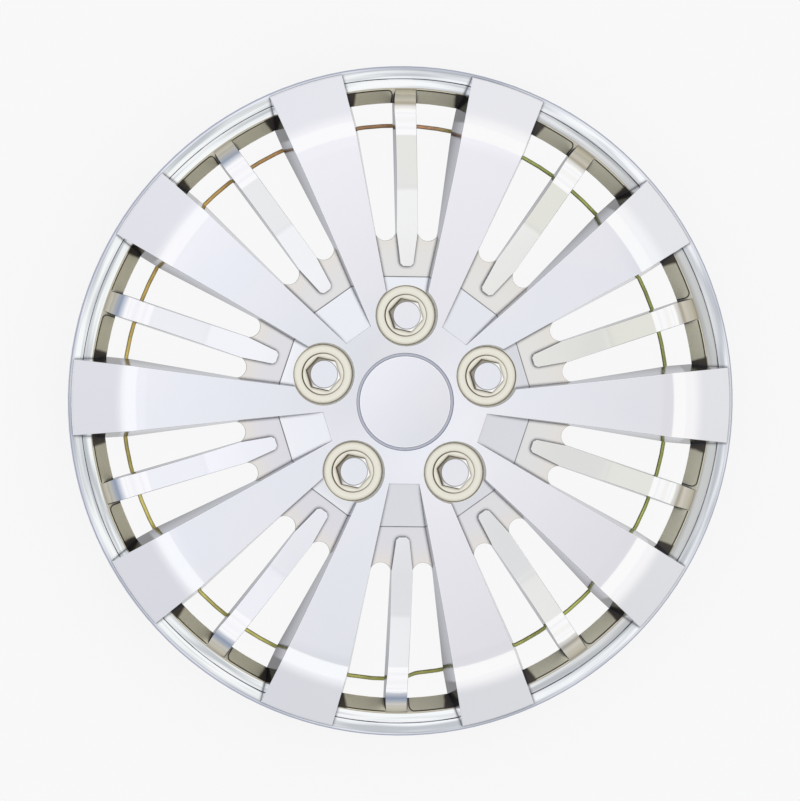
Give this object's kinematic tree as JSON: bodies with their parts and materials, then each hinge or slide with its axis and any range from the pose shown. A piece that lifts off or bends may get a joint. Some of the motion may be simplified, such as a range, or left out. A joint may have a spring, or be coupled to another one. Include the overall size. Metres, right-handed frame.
{
  "type": "hubcap",
  "caption": "Round chromed push-on wheel cover: wide and narrow spokes over open windows, imitation nuts, plain centre, wire-sprung legs behind.",
  "frame": {"origin": "on the wheel axis, level with the tips of the ten legs on which the cover lies", "axes": "+Z along the wheel axis, out of the face; +X along the middle of one wide spoke; +Y towards the narrow spoke that has a nut below it, away from the valve"},
  "size_m": [0.406, 0.406, 0.0563],
  "materials": {
    "cover": "bright chrome plating on plastic",
    "wire": "yellow zinc on spring steel wire"
  },
  "bodies": {
    "root": {"cover": "cover", "retention_ring": "wire"}
  },
  "joints": []
}
